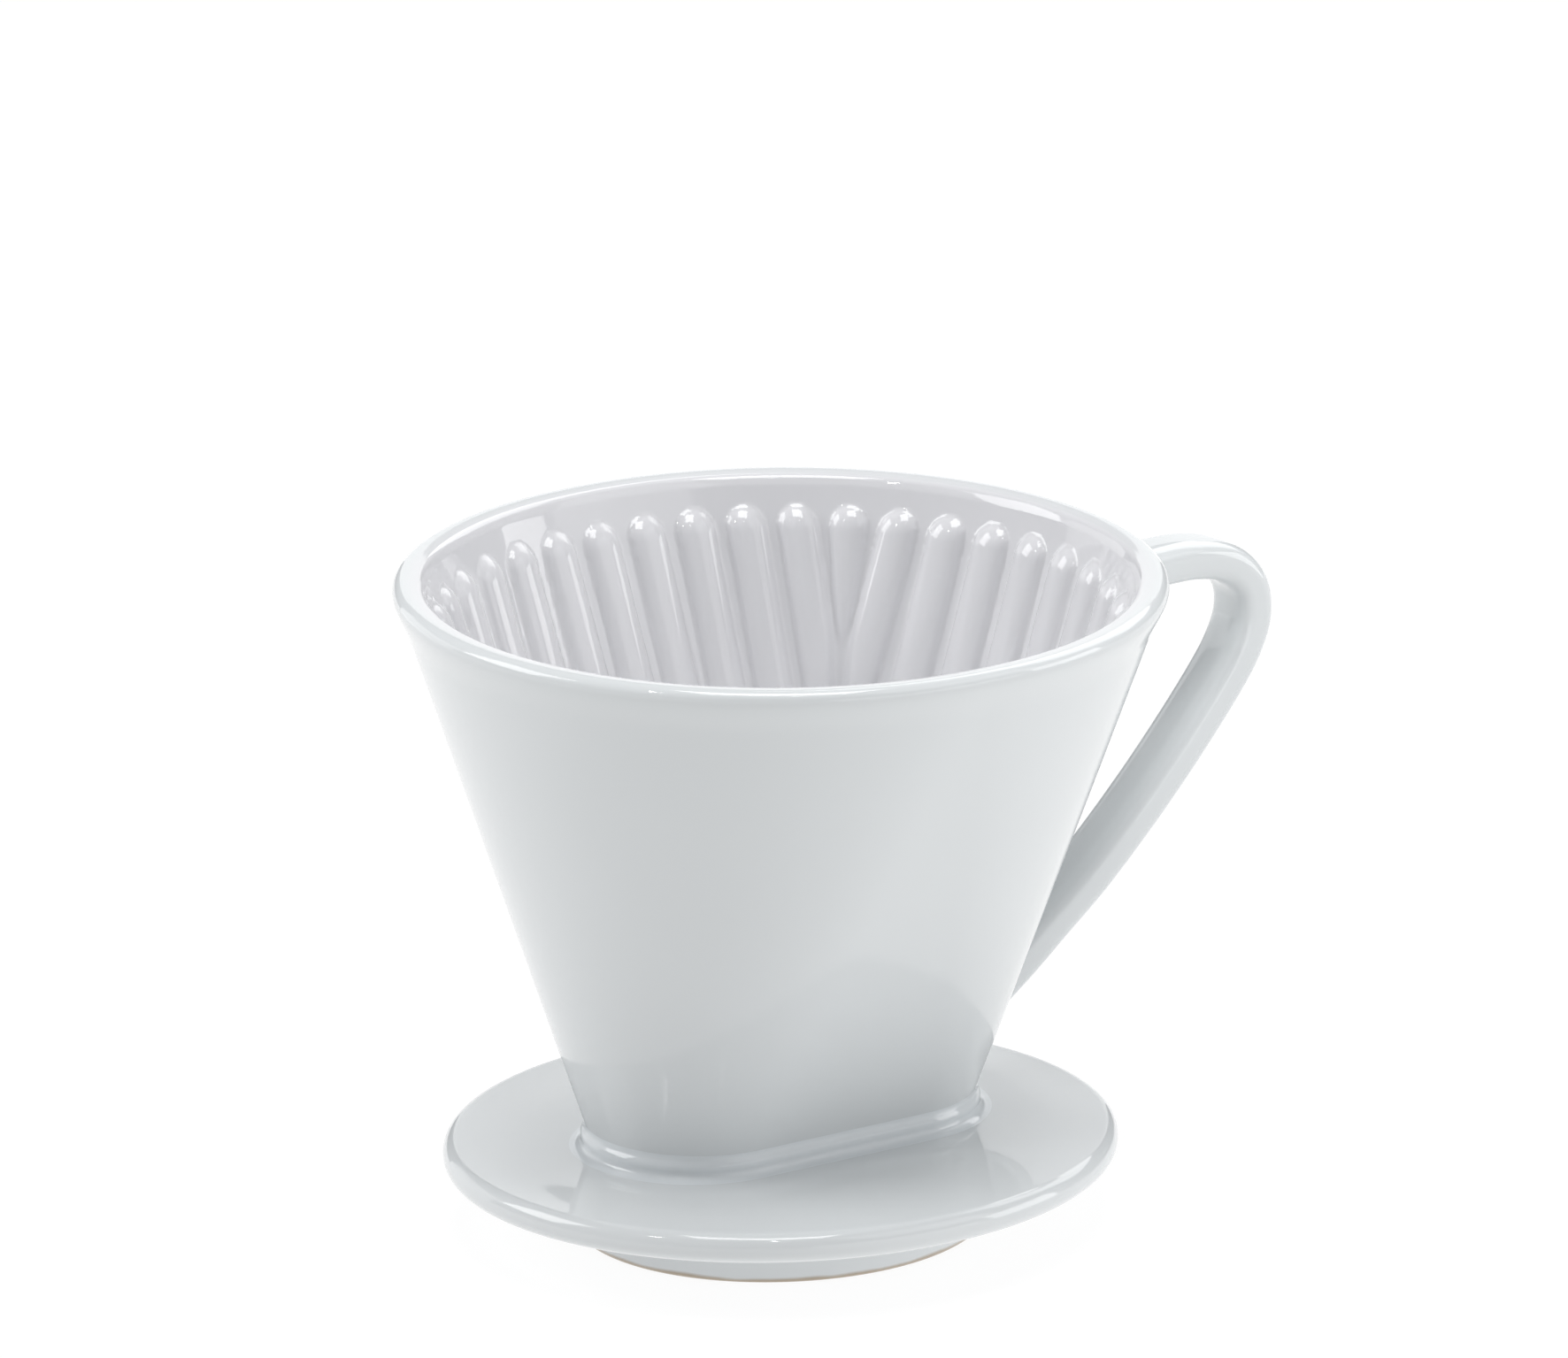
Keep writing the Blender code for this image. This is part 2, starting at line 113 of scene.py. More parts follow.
def add_object(name, data):
    thing = bpy.data.objects.new(name, data)
    bpy.context.scene.collection.objects.link(thing)
    return thing


def finish_mesh(mesh):
    """Weld doubled points, turn every face outwards and shade the mesh smooth."""
    form = bmesh.new()
    form.from_mesh(mesh)
    bmesh.ops.remove_doubles(form, verts=form.verts, dist=WELD)
    bmesh.ops.recalc_face_normals(form, faces=form.faces)
    form.to_mesh(mesh)
    form.free()
    mesh.shade_smooth()


def grid_mesh(name, grid, wrap_rows=False, cap_ends=False):
    """A smooth quad mesh from rows of points; the columns always close round."""
    rows, columns, _ = grid.shape
    index = np.arange(rows * columns).reshape(rows, columns)
    across = np.roll(index, -1, axis=1)
    above, above_across = np.roll(index, -1, axis=0), np.roll(across, -1, axis=0)
    quads = np.stack([index, across, above_across, above], axis=-1)
    quads = quads.reshape(-1, 4) if wrap_rows else quads[:-1].reshape(-1, 4)
    faces = quads.tolist()
    if cap_ends:
        faces.append(index[0, ::-1].tolist())
        faces.append(index[-1].tolist())
    mesh = bpy.data.meshes.new(name)
    mesh.from_pydata(grid.reshape(-1, 3).tolist(), [], faces)
    finish_mesh(mesh)
    piece = add_object(name, mesh)
    piece.location.x = AXIS
    return piece


def dress(piece, material, slot, *nodes):
    """Give a piece its material, hang it under the root body and hide the CAD nodes it stands for."""
    piece.data.materials.append(material)
    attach(piece, "root")
    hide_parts(*nodes)
    return piece


def smooth_step(share):
    share = np.clip(share, 0.0, 1.0)
    return share * share * (3 - 2 * share)


def soft_max(first, second, reach):
    """The larger of two heights, with the crease between them rounded off over this reach."""
    near = np.maximum(reach - np.abs(first - second), 0.0)
    return np.maximum(first, second) + near * near / (4 * reach)


def smooth_route(points, steps):
    """The route's points with Catmull-Rom points between them."""
    points = np.array(points)
    ends = np.vstack([points[:1], points, points[-1:]])
    route = []
    for before, a, b, after in zip(ends, ends[1:], ends[2:], ends[3:]):
        for t in np.linspace(0.0, 1.0, steps, endpoint=False):
            route.append(
                a
                + 0.5 * t * (b - before)
                + t * t * (before - 2.5 * a + 2 * b - 0.5 * after)
                + t**3 * (1.5 * (a - b) + 0.5 * (after - before))
            )
    route.append(points[-1])
    return np.array(route)


# The cone's surface


def cone_surface(normal, side, height, inset):
    """Points of the cone by level outward normal: between the slot's outline and the oval rim.

    side runs from -1 to +1 along the straight part of each section.
    """
    share = (height - WALL_FOOT) / (LIP_LEVEL - WALL_FOOT)
    across, along = np.cos(normal), np.sin(normal)
    rim_length = RIM_HALF_LENGTH - RIM_STRAIGHT
    reach = np.hypot(rim_length * across, RIM_HALF_WIDTH * along)
    straight = (1 - share) * SLOT_STRAIGHT + share * RIM_STRAIGHT
    arc = (1 - share) * SLOT_RADIUS - inset
    x = side * straight + arc * across + share * rim_length**2 * across / reach
    y = arc * along + share * RIM_HALF_WIDTH**2 * along / reach
    return x, y


def cone_columns(turn_steps, straight_steps):
    """Normals and places along the straight part, once round the cone."""
    turn = np.linspace(0.0, math.pi / 2, turn_steps, endpoint=False)
    run = np.linspace(1.0, -1.0, straight_steps, endpoint=False)
    normals = np.concatenate(
        [
            turn,
            np.full(straight_steps, math.pi / 2),
            turn + math.pi / 2,
            turn + math.pi,
            np.full(straight_steps, 1.5 * math.pi),
            turn + 1.5 * math.pi,
        ]
    )
    one = np.ones(turn_steps)
    sides = np.concatenate([one, run, -one, -one, -run, one])
    return normals, sides


def rib_top_points():
    """Where the ribs of the first quarter start, evenly spaced along the inner face.

    The first rib lies on the long axis and the last in the middle of the wall's straight part.
    """
    normals = np.linspace(0.0, math.pi / 2, 2000)
    x, y = cone_surface(normals, 1.0, RIB_TOP, WALL)
    x, y = np.append(x, 0.0), np.append(y, y[-1])
    lengths = np.concatenate([[0.0], np.cumsum(np.hypot(np.diff(x), np.diff(y)))])
    wanted = np.linspace(0.0, lengths[-1], RIB_PITCHES + 1)
    return np.interp(wanted, lengths, x), np.interp(wanted, lengths, y)


def rib_lines(height):
    """Where the crests run at this height: side ribs by x, and end ribs by y."""
    top_x, top_y = rib_top_points()
    drop = (RIB_TOP - height) / (RIB_TOP - RIB_END)
    return top_x * (1 - (1 - SIDE_SPREAD) * drop), top_y * (1 - (1 - END_SPREAD) * drop)


def mitre_normal(line_x, line_y, height):
    """Normal of the mitre at this height, half way between the last rib of each family."""
    middle = RIB_PITCHES // 2
    quarter = np.linspace(0.0, math.pi / 2, 400)
    quarter_x, quarter_y = cone_surface(quarter, 1.0, height, WALL)
    end_normal = np.interp(line_y[middle - 1], quarter_y, quarter)
    side_normal = np.interp(-line_x[middle + 1], -quarter_x, quarter)
    return (end_normal + side_normal) / 2


def ridge(distance, beyond, half_width):
    """Height of a rounded rib this far to the side of its crest and this far past its end."""
    reach = np.hypot(distance, beyond) / np.maximum(half_width, NARROWEST_RIB)
    crown = np.sqrt(np.maximum(1 - reach * reach, 0.0))
    return RIB_HEIGHT * (half_width / RIB_HALF_WIDTH) * crown


def rib_height(x, y, normal, height):
    """How far the ribs stand out at these points of the inner face.

    Side ribs run square to the slot and end ribs run along it. They meet at a mitre in each quarter,
    half way between the last rib of each family, where one short rib fades out.
    """
    line_x, line_y = rib_lines(height)
    mitre = mitre_normal(line_x, line_y, height)
    mitre_x, mitre_y = cone_surface(mitre, 1.0, height, WALL)
    x, y = np.abs(x), np.abs(y)
    folded = np.abs(np.arcsin(np.clip(np.sin(normal), -1.0, 1.0)))
    from_mitre = np.hypot(x - mitre_x, y - mitre_y)
    fade = smooth_step(from_mitre / MITRE_FADE)
    side_share, end_share = fade * (folded > mitre), fade * (folded <= mitre)
    above = max(height - (RIB_TOP - RIB_DOME), 0.0)
    below = max(RIB_END + RIB_DOME - height, 0.0)
    middle = RIB_PITCHES // 2

    left = np.clip(1 - (RIB_TOP - height) / SHORT_RIB, 0.0, 1.0)
    result = ridge(from_mitre, above, RIB_HALF_WIDTH * np.sqrt(left))
    for line in line_x[middle + 1 :]:
        distance = (x - line) / np.maximum(np.sin(folded), LEAST_SLOPE)
        result = np.maximum(result, ridge(distance, above + below, RIB_HALF_WIDTH) * side_share)
    for line in line_y[:middle]:
        distance = (y - line) / np.maximum(np.cos(folded), LEAST_SLOPE)
        result = np.maximum(result, ridge(distance, above + below, RIB_HALF_WIDTH) * end_share)
    return result


def lip_section():
    """(inset, height) points up the outer face, over the lip and down to the inner edge."""
    points = [(0.0, height) for height in np.linspace(WALL_FOOT, LIP_FOOT, 24)]
    for share in np.linspace(0.0, 1.0, 10)[1:]:
        points.append((-LIP_FLARE * smooth_step(share), LIP_FOOT + share * (LIP_LEVEL - LIP_FOOT)))
    centre = LIP_RADIUS - LIP_FLARE
    for angle in np.linspace(0.0, math.pi / 2, 14)[1:]:
        inset = centre - LIP_RADIUS * math.cos(angle)
        points.append((inset, LIP_LEVEL + LIP_RADIUS * math.sin(angle)))
    for share in np.linspace(0.0, 1.0, 6)[1:]:
        inset = centre + share * (WALL - INNER_EDGE - centre)
        points.append((inset, HEIGHT - LIP_FALL * share**2))
    for angle in np.linspace(0.0, math.pi / 2, 7)[1:]:
        inset = WALL - INNER_EDGE * (1 - math.sin(angle))
        points.append((inset, HEIGHT - LIP_FALL - INNER_EDGE * (1 - math.cos(angle))))
    return points


def inner_heights(start):
    """Heights of the rows down the inner face, closest together where the ribs' tops round over."""
    over_ribs = RIB_TOP + 0.6 * MM
    under_domes = RIB_TOP - 6 * MM
    over_ends = RIB_END + 4 * MM
    foot = WALL_FOOT - 1.0 * MM
    stretches = (
        (start, over_ribs, 10),
        (over_ribs, under_domes, 24),
        (under_domes, over_ends, 90),
        (over_ends, foot, 14),
    )
    return np.concatenate([np.linspace(top, bottom, count)[1:] for top, bottom, count in stretches])


def filter_cone(material):
    """The ribbed cone, scaled by a hair so that its rim fills the CAD's box."""
    normals, sides = cone_columns(200, 60)
    rows = lip_section()
    _, lip_end = rows[-1]
    for height in inner_heights(lip_end):
        x, y = cone_surface(normals, sides, height, WALL)
        ribs = rib_height(x, y, normals, height)
        rows.append((WALL + soft_max(ribs, 0.0, RIB_FILLET), height))
    grid = np.empty((len(rows), len(normals), 3))
    for row, (inset, height) in enumerate(rows):
        grid[row, :, 0], grid[row, :, 1] = cone_surface(normals, sides, height, inset)
        grid[row, :, 2] = height
    for axis, room in ((0, (CONE_HIGH.x - CONE_LOW.x) / 2), (1, CONE_HIGH.y)):
        grid[:, :, axis] *= room / grid[:, :, axis].max()
    piece = grid_mesh("ribbed_filter_cone", grid, wrap_rows=True)
    return dress(piece, material, "white_glaze", "filter_cone")


# Flat and turned pieces


def slot_points(straight, radius, steps=48):
    """A slot's outline: two half circles joined by straight sides."""
    outline = []
    for side, start in ((1, -math.pi / 2), (-1, math.pi / 2)):
        for step in range(steps + 1):
            angle = start + math.pi * step / steps
            outline.append((side * straight + radius * math.cos(angle), radius * math.sin(angle)))
    return outline


def hole_points(centre, radius, steps=48):
    turns = [2 * math.pi * step / steps for step in range(steps)]
    return [(centre + radius * math.cos(turn), radius * math.sin(turn)) for turn in turns]


def plate_mesh(name, outlines, thickness, round_edge):
    """A flat plate from its outline and holes, with every edge rounded."""
    curve = bpy.data.curves.new(name, "CURVE")
    curve.dimensions = "2D"
    curve.fill_mode = "BOTH"
    curve.bevel_depth = round_edge
    curve.bevel_resolution = 4
    curve.extrude = thickness / 2 - round_edge
    curve.offset = -round_edge
    for outline in outlines:
        spline = curve.splines.new("POLY")
        spline.points.add(len(outline) - 1)
        for point, (x, y) in zip(spline.points, outline):
            point.co = (x, y, 0.0, 1.0)
        spline.use_cyclic_u = True
    holder = add_object(f"{name}_curve", curve)
    bpy.context.view_layer.update()
    graph = bpy.context.evaluated_depsgraph_get()
    mesh = bpy.data.meshes.new_from_object(holder.evaluated_get(graph))
    bpy.data.objects.remove(holder, do_unlink=True)
    return mesh


def drain_floor(material):
    """The slot's floor, with rounded edges round its three drip holes."""
    low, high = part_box("drain_floor")
    outlines = [slot_points(SLOT_STRAIGHT, SLOT_RADIUS - WALL - FLOOR_GAP)]
    for place in (-1, 0, 1):
        outlines.append(hole_points(place * DRIP_HOLE_PITCH, DRIP_HOLE_RADIUS))
    mesh = plate_mesh("perforated_floor", outlines, high.z - low.z, FLOOR_EDGE)
    finish_mesh(mesh)
    mesh.set_sharp_from_angle(angle=FLOOR_SHARP_ANGLE)
    piece = add_object("perforated_floor", mesh)
    piece.location = (AXIS, 0.0, (low.z + high.z) / 2)
    return dress(piece, material, "white_glaze", "drain_floor")


def plate_section():
    """(share of the way out from the slot, height, distance beyond) round the plate's section."""
    top = PLATE_TOP - PLATE_CROWN
    middle, half = (top + PLATE_UNDERSIDE) / 2, (top - PLATE_UNDERSIDE) / 2
    points = []
    for share in np.linspace(0.0, 1.0, 40):
        fall = PLATE_CROWN * smooth_step((share - CROWN_START) / (1 - CROWN_START))
        points.append((share, PLATE_TOP - fall, -PLATE_EDGE))
    for angle in np.linspace(math.pi / 2, -math.pi / 2, 30)[1:]:
        beyond = PLATE_EDGE * math.cos(angle) - PLATE_EDGE
        points.append((1.0, middle + half * math.sin(angle), beyond))
    for share in np.linspace(1.0, 0.0, 20)[1:]:
        points.append((share, PLATE_UNDERSIDE, -PLATE_EDGE))
    return points


def base_plate(material):
    """Each ring of the plate lies between the slot's outline and the plate's oval."""
    slot_radius = SLOT_RADIUS - WALL
    normals, sides = cone_columns(90, 24)
    rings = plate_section()
    grid = np.empty((len(rings), len(normals), 3))
    for row, (share, height, beyond) in enumerate(rings):
        straight = (1 - share) * SLOT_STRAIGHT
        slot_arc = (1 - share) * slot_radius
        length = slot_arc + share * (PLATE_RADIUS + beyond)
        width = slot_arc + share * (PLATE_RADIUS * BASE_OVAL + beyond)
        grid[row, :, 0] = sides * straight + length * np.cos(normals)
        grid[row, :, 1] = width * np.sin(normals)
        grid[row, :, 2] = height
    piece = grid_mesh("oval_base_plate", grid, wrap_rows=True)
    return dress(piece, material, "white_glaze", "base_plate")


def turned(name, profile, steps=240):
    """A closed (radius, height) profile turned round the cone's axis."""
    angles = np.linspace(0.0, 2 * math.pi, steps, endpoint=False)
    grid = np.empty((len(profile), steps, 3))
    for row, (radius, height) in enumerate(profile):
        grid[row, :, 0] = radius * np.cos(angles)
        grid[row, :, 1] = radius * BASE_OVAL * np.sin(angles)
        grid[row, :, 2] = height
    return grid_mesh(name, grid, wrap_rows=True)


def arc_points(centre_x, centre_z, radius, start, end, steps):
    """Points along an arc, with angles in degrees from +X towards +Z."""
    angles = np.radians(np.linspace(start, end, steps))
    return [(centre_x + radius * math.cos(a), centre_z + radius * math.sin(a)) for a in angles]


def foot_ring(material):
    """The locating ring, with a rounded edge on both sides of its flat standing face."""
    top = PLATE_UNDERSIDE + FOOT_SUNK
    outer, inner = FOOT_RADIUS, FOOT_RADIUS - FOOT_THICKNESS
    profile = [(outer, height) for height in np.linspace(top, FOOT_EDGE, 8)[:-1]]
    profile += arc_points(outer - FOOT_EDGE, FOOT_EDGE, FOOT_EDGE, 0, -90, 8)
    profile += arc_points(inner + FOOT_EDGE, FOOT_EDGE, FOOT_EDGE, -90, -180, 8)
    profile += [(inner, height) for height in np.linspace(FOOT_EDGE, top, 8)[1:]]
    piece = turned("foot_locating_ring", profile)
    return dress(piece, material, "foot_edge", "foot_ring")


# The bead's section in mm: how far it stands out from the wall, and its height over the plate
BEAD_SECTION = (
    (-0.12, 4.6),
    (0.0, 4.0),
    (0.12, 3.6),
    (0.35, 3.2),
    (0.75, 2.8),
    (1.15, 2.3),
    (1.35, 1.75),
    (1.45, 1.2),
    (1.75, 0.7),
    (2.3, 0.32),
    (3.0, 0.1),
    (3.8, 0.0),
    (4.3, -0.12),
)
BEAD_BACK = ((-0.8, -0.8), (-0.8, 4.6))  # closes the section inside the wall


def seam_bead(material):
    """A soft roll of slip that runs out into the wall above and the plate below."""
    normals, sides = cone_columns(60, 24)
    section = np.vstack([smooth_route(BEAD_SECTION, 4), BEAD_BACK]) * MM
    grid = np.empty((len(section), len(normals), 3))
    for row, (offset, height) in enumerate(section):
        grid[row, :, 0], grid[row, :, 1] = cone_surface(normals, sides, PLATE_TOP + height, -offset)
        grid[row, :, 2] = PLATE_TOP + height
    piece = grid_mesh("slip_bead", grid, wrap_rows=True)
    return dress(piece, material, "white_glaze", "seam_bead")


# Handle

STRAP_WIDTH = STRAP_HIGH.y - STRAP_LOW.y
STRAP_THICKNESS = 6.7 * MM
STRAP_ROUNDNESS = 3.4  # power of the section's rounded rectangle: 2 is an oval
STRAP_END_TURN = 0.5  # the wall's normals turn by less than this, in radians, behind the strap
# Centre line, as in the CAD: distance from the cone's axis, and height
STRAP_ROUTE = (
    (0.0503, 0.0978),
    (0.0601, 0.0979),
    (0.0698, 0.0981),
    (0.0790, 0.0982),
    (0.0859, 0.0965),
    (0.0900, 0.0924),
    (0.0908, 0.0871),
    (0.0891, 0.0820),
    (0.0856, 0.0766),
    (0.0781, 0.0674),
    (0.0694, 0.0578),
    (0.0596, 0.0481),
    (0.0515, 0.0413),
    (0.0449, 0.0358),
    (0.0375, 0.0302),
    (0.0286, 0.0235),
)
UPPER_END = STRAP_ROUTE[:4]
LOWER_END = STRAP_ROUTE[-5:]

# Slip round the strap's ends
SLIP_REACH = 1.8 * MM
SLIP_RUN_ON = 0.8 * MM
SLIP_SINK = 0.12 * MM
SLIP_ROOT = 4 * SLIP_SINK  # how deep the slip's hidden side lies inside the strap and the wall


def strap_section(steps=72):
    """A soft-cornered section as (across, out) shares of half the width and half the thickness."""
    power = 2 / STRAP_ROUNDNESS
    angles = np.linspace(0.0, 2 * math.pi, steps, endpoint=False)
    across = np.sign(np.cos(angles)) * np.abs(np.cos(angles)) ** power
    out = np.sign(np.sin(angles)) * np.abs(np.sin(angles)) ** power
    return across, out


def strap_rings(route):
    """The strap's section along its route."""
    tangents = np.gradient(route, axis=0)
    tangents /= np.linalg.norm(tangents, axis=1)[:, None]
    across, out = strap_section()
    grid = np.empty((len(route), len(across), 3))
    half_width, half_thickness = STRAP_WIDTH / 2, STRAP_THICKNESS / 2
    for row, ((x, z), (tx, tz)) in enumerate(zip(route, tangents)):
        grid[row, :, 0] = x - tz * out * half_thickness
        grid[row, :, 1] = across * half_width
        grid[row, :, 2] = z + tx * out * half_thickness
    return grid


def wall_depth(points):
    """Level distance of points near the cone's end from its outer face, positive outside."""
    normals = np.linspace(-STRAP_END_TURN, STRAP_END_TURN, 201)
    result = []
    for x, y, z in points:
        wall_x, wall_y = cone_surface(normals, 1.0, z, 0.0)
        result.append(x - np.interp(y, wall_y, wall_x))
    return np.array(result)


def handle(material):
    """The strap, with both of its ends buried halfway into the cone's wall."""
    grid = strap_rings(smooth_route(STRAP_ROUTE, 8))
    for ring in grid:
        ring[:, 0] += np.maximum(-WALL / 2 - wall_depth(ring), 0.0)
    grid[:, :, 0] = np.minimum(grid[:, :, 0], STRAP_HIGH.x - AXIS)
    piece = grid_mesh("strap_handle", grid, cap_ends=True)
    return dress(piece, material, "white_glaze", "handle")


def strap_points(rings, distance):
    """Where each line along the strap is this far out from the wall."""
    found = []
    for line in rings.transpose(1, 0, 2):
        depth = wall_depth(line)
        order = np.argsort(depth)
        found.append([np.interp(distance, depth[order], line[order, axis]) for axis in range(3)])
    return np.array(found)


def wall_points(points, depth):
    """These points moved along X onto the wall, and sunk to this depth."""
    moved = points.copy()
    moved[:, 0] -= wall_depth(moved) + depth
    return moved


def handle_seam(name, route, node, material):
    """A fillet of slip round one end of the strap, hollow like a potter's finger run.

    Both of its edges run on a little way under the strap's and the wall's surfaces, so no edge shows.
    """
    rings = strap_rings(smooth_route(route, 24))
    hits = strap_points(rings, 0.0)
    away = hits - hits.mean(axis=0)
    away /= np.linalg.norm(away, axis=1)[:, None]
    run_end = SLIP_REACH + SLIP_RUN_ON
    on_strap = strap_points(rings, SLIP_REACH)
    on_wall = wall_points(hits + away * SLIP_REACH, 0.0)
    rows = [strap_points(rings, run_end) - away * SLIP_SINK]
    for t in np.linspace(0.0, 1.0, 14):
        rows.append((1 - t) ** 2 * on_strap + 2 * t * (1 - t) * hits + t * t * on_wall)
    rows.append(wall_points(hits + away * run_end, SLIP_SINK))
    rows.append(wall_points(hits, SLIP_ROOT) - away * SLIP_ROOT)
    piece = grid_mesh(name, np.array(rows), wrap_rows=True)
    return dress(piece, material, "white_glaze", node)


# Materials

GLAZE_COLOUR = (0.70, 0.723, 0.732)
# INNER_PAINTED_LIGHT is painted light: a lighter, lavender tone on the inner face that stands in for
# the light inside the cone; the glaze is the same inside and out
INNER_PAINTED_LIGHT = (0.72, 0.719, 0.738)
# BEAD_PAINTED_HIGHLIGHT is a painted highlight: a lighter, bluish-white colour along the whole slip
# bead
BEAD_PAINTED_HIGHLIGHT = (0.76, 0.795, 0.815)
BARE_CLAY = (0.42, 0.35, 0.27)
POOLING = 0.97  # share of its colour that the glaze keeps where it is thickest
INWARDS_BLEND = 20.0 * MM  # the painted inner light is full on faces that look in from this far out
BARE_EDGE = (1.0 * MM, 1.5 * MM)  # the heights between which bare clay gives way to glaze
BARE_EDGE_UNEVENNESS = 0.8 * MM
SATIN_ROUGHNESS = (0.32, 0.42)
WAVE_STRENGTH = 0.10
WAVE_HEIGHT = 0.2 * MM

# Noise across the glaze: scale and detail
POOLING_NOISE = (28.0, 2.0)
SPECK_NOISE = (900.0, 1.0)
WAVE_NOISE = (110.0, 1.5)


def noise(nodes, links, place, scale, detail):
    """Noise that is fixed to the object."""
    texture = nodes.new("ShaderNodeTexNoise")
    texture.inputs["Scale"].default_value = scale
    texture.inputs["Detail"].default_value = detail
    links.new(place.outputs["Object"], texture.inputs["Vector"])
    return texture.outputs["Fac"]


def ramp(nodes, links, value, start=(0.0, 1.0), end=(0.0, 1.0)):
    """Turn the start range of a value into the end range, and stop at its ends."""
    node = nodes.new("ShaderNodeMapRange")
    node.inputs["From Min"].default_value, node.inputs["From Max"].default_value = start
    node.inputs["To Min"].default_value, node.inputs["To Max"].default_value = end
    links.new(value, node.inputs["Value"])
    return node.outputs["Result"]


def colour_mix(nodes, links, share, first, second):
    """Go from the first colour to the second by this share; a colour may be another node's socket."""
    mix = nodes.new("ShaderNodeMix")
    mix.data_type = "RGBA"
    links.new(share, mix.inputs["Factor"])
    for socket, colour in (("A", first), ("B", second)):
        if isinstance(colour, tuple):
            mix.inputs[socket].default_value = (*colour, 1.0)
        else:
            links.new(colour, mix.inputs[socket])
    return mix.outputs["Result"]


def facing_inwards(nodes, links, place):
    """A value of 1 on faces that look towards the cone's axis, and 0 on those that look away."""
    surface = nodes.new("ShaderNodeNewGeometry")
    level = nodes.new("ShaderNodeVectorMath")
    level.operation = "MULTIPLY"
    level.inputs[1].default_value = (1.0, 1.0, 0.0)
    links.new(place.outputs["Object"], level.inputs[0])
    outwards = nodes.new("ShaderNodeVectorMath")
    outwards.operation = "DOT_PRODUCT"
    links.new(level.outputs["Vector"], outwards.inputs[0])
    links.new(surface.outputs["Normal"], outwards.inputs[1])
    return ramp(nodes, links, outwards.outputs["Value"], (0.0, -INWARDS_BLEND))


def above_bare_edge(nodes, links, place, waves):
    """A value of 0 on the bare standing edge and 1 on the glaze, with an uneven line between."""
    split = nodes.new("ShaderNodeSeparateXYZ")
    links.new(place.outputs["Object"], split.inputs["Vector"])
    uneven = nodes.new("ShaderNodeMath")
    uneven.operation = "MULTIPLY_ADD"
    uneven.inputs[1].default_value = BARE_EDGE_UNEVENNESS
    links.new(waves, uneven.inputs[0])
    links.new(split.outputs["Z"], uneven.inputs[2])
    return ramp(nodes, links, uneven.outputs["Value"], BARE_EDGE)


def glaze_finish(nodes, links, shader, place, waves):
    """A satin body under a mirror-like coat, both with the slight waves of a dipped glaze."""
    shader.inputs["IOR"].default_value = 1.5
    shader.inputs["Specular IOR Level"].default_value = 0.1
    shader.inputs["Coat Weight"].default_value = 1.0
    shader.inputs["Coat Roughness"].default_value = 0.04
    shader.inputs["Coat IOR"].default_value = 1.5
    specks = noise(nodes, links, place, *SPECK_NOISE)
    links.new(ramp(nodes, links, specks, end=SATIN_ROUGHNESS), shader.inputs["Roughness"])
    bump = nodes.new("ShaderNodeBump")
    bump.inputs["Strength"].default_value = WAVE_STRENGTH
    bump.inputs["Distance"].default_value = WAVE_HEIGHT
    links.new(waves, bump.inputs["Height"])
    links.new(bump.outputs["Normal"], shader.inputs["Normal"])
    links.new(bump.outputs["Normal"], shader.inputs["Coat Normal"])


def glaze_material(name, colour, painted_inner_tone=None, has_bare_edge=False):
    """Clear glaze over white porcelain, with a faint pooling of tone, and painted light on the inner
    face when an inner tone is given.
    """
    material = bpy.data.materials.new(name)
    material.use_nodes = True
    nodes, links = material.node_tree.nodes, material.node_tree.links
    shader = nodes["Principled BSDF"]
    place = nodes.new("ShaderNodeTexCoord")
    pooled = tuple(channel * POOLING for channel in colour)
    tone = colour_mix(nodes, links, noise(nodes, links, place, *POOLING_NOISE), colour, pooled)
    # Painted light: faces that look in towards the axis take the lighter, lavender inner tone
    if painted_inner_tone:
        tone = colour_mix(nodes, links, facing_inwards(nodes, links, place), tone, painted_inner_tone)
    waves = noise(nodes, links, place, *WAVE_NOISE)
    if has_bare_edge:
        tone = colour_mix(nodes, links, above_bare_edge(nodes, links, place, waves), BARE_CLAY, tone)
    links.new(tone, shader.inputs["Base Color"])
    glaze_finish(nodes, links, shader, place, waves)
    return material


# Stage, light and camera

STAGE_HALF = 3.0
STAGE_DROP = 0.05 * MM  # keeps the floor clear of the standing edge
STAGE_ALBEDO = 0.1
STAGE_ROUGHNESS = 0.9
STAGE_GLOW = 0.92  # the floor is lit up like a backlit table, so it stays almost white

VIEW_TURN = 33.85  # degrees between the slot's long axis and the picture's width
VIEW_LIFT = 17.67
VIEW_DISTANCE = 2.50
VIEW_AIM_RIGHT = 0.48 * MM
VIEW_AIM_UP = 91.24 * MM
LENS = 358.0
SENSOR_WIDTH = 36.0
VIEW_END = 20.0

LIGHT_AIM = Vector((0.0, 0.0, 0.06))
WORLD_TINT = (0.93, 0.96, 1.0)
WORLD_LIGHT = 0.18

# Azimuth to the right of the camera, lift over the table, distance, width and height, power
SOFT_BOXES = {
    "left_box": (-90, 35, 1.2, (0.6, 0.6), 5.2),
    "low_left_box": (-125, 12, 1.2, (0.8, 0.6), 1.5),
    "right_box": (60, 42, 1.2, (0.9, 0.6), 1.8),
    "low_right_box": (90, 12, 1.2, (0.6, 0.6), 3.8),
    "table_card": (42, 5, 0.5, (0.5, 0.12), 0.23),
    "back_right_box": (150, 42, 1.2, (0.9, 0.6), 3.8),
    "low_back_box": (180, 12, 1.2, (0.6, 0.6), 1.0),
    "overhead_box": (0, 80, 1.2, (0.6, 0.6), 7.3),
    "left_strobe": (-42, 48, 1.6, (0.10, 0.06), 1.0),
    "right_strobe": (8, 55, 1.6, (0.05, 0.05), 0.35),
}


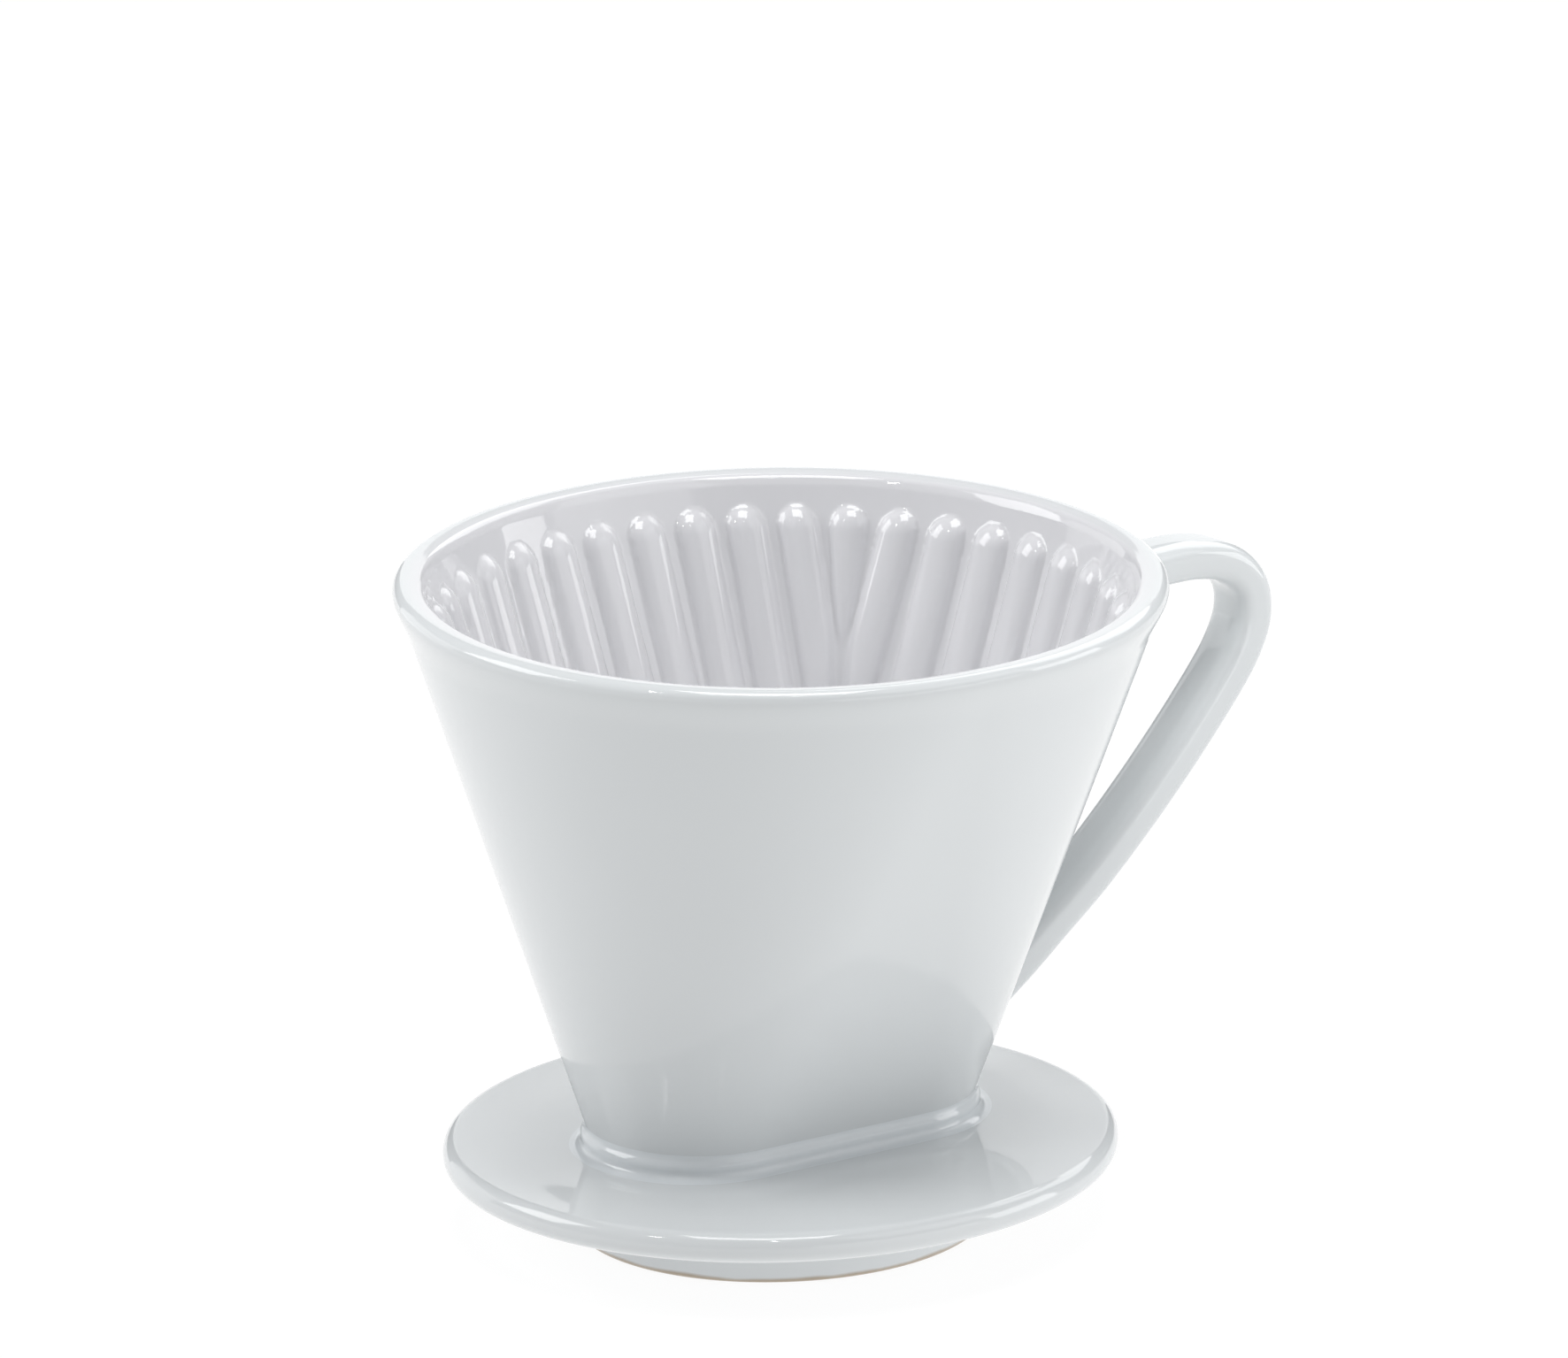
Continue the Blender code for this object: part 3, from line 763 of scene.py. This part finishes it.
def stage_floor():
    """A wide floor, bright enough on its own to show no shadow."""
    corners = [(x * STAGE_HALF, y * STAGE_HALF, 0) for x, y in ((-1, -1), (1, -1), (1, 1), (-1, 1))]
    mesh = bpy.data.meshes.new("floor")
    mesh.from_pydata(corners, [], [(0, 1, 2, 3)])
    floor = add_object("studio_floor", mesh)
    floor.location.z = -STAGE_DROP
    material = bpy.data.materials.new("studio_floor")
    material.use_nodes = True
    shader = material.node_tree.nodes["Principled BSDF"]
    shader.inputs["Base Color"].default_value = (STAGE_ALBEDO, STAGE_ALBEDO, STAGE_ALBEDO, 1.0)
    shader.inputs["Roughness"].default_value = STAGE_ROUGHNESS
    shader.inputs["Specular IOR Level"].default_value = 0.0
    shader.inputs["Emission Color"].default_value = (1.0, 1.0, 1.0, 1.0)
    shader.inputs["Emission Strength"].default_value = STAGE_GLOW
    mesh.materials.append(material)


def camera_axes():
    """Unit vectors of the view: to its right, back to the camera, and level towards the camera."""
    turn, lift = math.radians(VIEW_TURN), math.radians(VIEW_LIFT)
    right = Vector((math.cos(turn), -math.sin(turn), 0.0))
    level = Vector((-math.sin(turn), -math.cos(turn), 0.0))
    back = level * math.cos(lift) + Vector((0, 0, 1)) * math.sin(lift)
    return right, back, level


def around(azimuth, lift, distance):
    """A place round the object: azimuth in degrees to the right of the camera, lift above the table."""
    right, _, level = camera_axes()
    turn, rise = math.radians(azimuth), math.radians(lift)
    outwards = level * math.cos(turn) + right * math.sin(turn)
    return (outwards * math.cos(rise) + Vector((0, 0, 1)) * math.sin(rise)) * distance


def soft_box(name, place, size, power):
    """A rectangular area light that faces the object and isn't seen by the camera."""
    light = bpy.data.lights.new(name, "AREA")
    light.shape = "RECTANGLE"
    light.size, light.size_y = size
    light.energy = power
    lamp = add_object(name, light)
    lamp.location = place
    lamp.rotation_euler = (LIGHT_AIM - place).to_track_quat("-Z", "Y").to_euler()
    lamp.visible_camera = False


def studio_light():
    """The soft boxes, and a world that is white to the camera and a faint cool fill to the object."""
    for name, (azimuth, lift, distance, size, power) in SOFT_BOXES.items():
        soft_box(name, around(azimuth, lift, distance), size, power)
    world = bpy.data.worlds.new("studio")
    bpy.context.scene.world = world
    world.use_nodes = True
    nodes, links = world.node_tree.nodes, world.node_tree.links
    seen, lit = nodes["Background"], nodes.new("ShaderNodeBackground")
    seen.inputs["Color"].default_value = (1.0, 1.0, 1.0, 1.0)
    seen.inputs["Strength"].default_value = 1.0
    lit.inputs["Color"].default_value = (*WORLD_TINT, 1.0)
    lit.inputs["Strength"].default_value = WORLD_LIGHT
    path, mix = nodes.new("ShaderNodeLightPath"), nodes.new("ShaderNodeMixShader")
    links.new(path.outputs["Is Camera Ray"], mix.inputs["Fac"])
    links.new(lit.outputs["Background"], mix.inputs[1])
    links.new(seen.outputs["Background"], mix.inputs[2])
    links.new(mix.outputs["Shader"], nodes["World Output"].inputs["Surface"])


def view_camera():
    """A long lens that looks down a little, with the handle on its right."""
    right, back, _ = camera_axes()
    lens = bpy.data.cameras.new("camera")
    lens.lens = LENS
    lens.sensor_width = SENSOR_WIDTH
    lens.clip_end = VIEW_END
    camera = add_object("camera", lens)
    target = Vector((AXIS, 0.0, VIEW_AIM_UP)) + right * VIEW_AIM_RIGHT
    camera.location = target + back * VIEW_DISTANCE
    camera.rotation_euler = back.to_track_quat("Z", "Y").to_euler()
    bpy.context.scene.camera = camera
    bpy.context.scene.view_settings.view_transform = "Standard"


def build():
    glaze = glaze_material("white_glaze", GLAZE_COLOUR)
    foot = glaze_material("foot_glaze_and_bare_edge", GLAZE_COLOUR, has_bare_edge=True)
    # The cone's inner face gets painted light
    filter_cone(glaze_material("cone_glaze_painted_lighter_inside", GLAZE_COLOUR, painted_inner_tone=INNER_PAINTED_LIGHT))
    drain_floor(glaze)
    base_plate(glaze)
    foot_ring(foot)
    # The slip bead's lighter colour is a painted highlight along it
    seam_bead(glaze_material("bead_glaze_with_painted_highlight", BEAD_PAINTED_HIGHLIGHT))
    handle(glaze)
    handle_seam("upper_handle_slip", UPPER_END, "handle_upper_seam", glaze)
    handle_seam("lower_handle_slip", LOWER_END, "handle_lower_seam", glaze)
    stage_floor()
    studio_light()
    view_camera()


build()
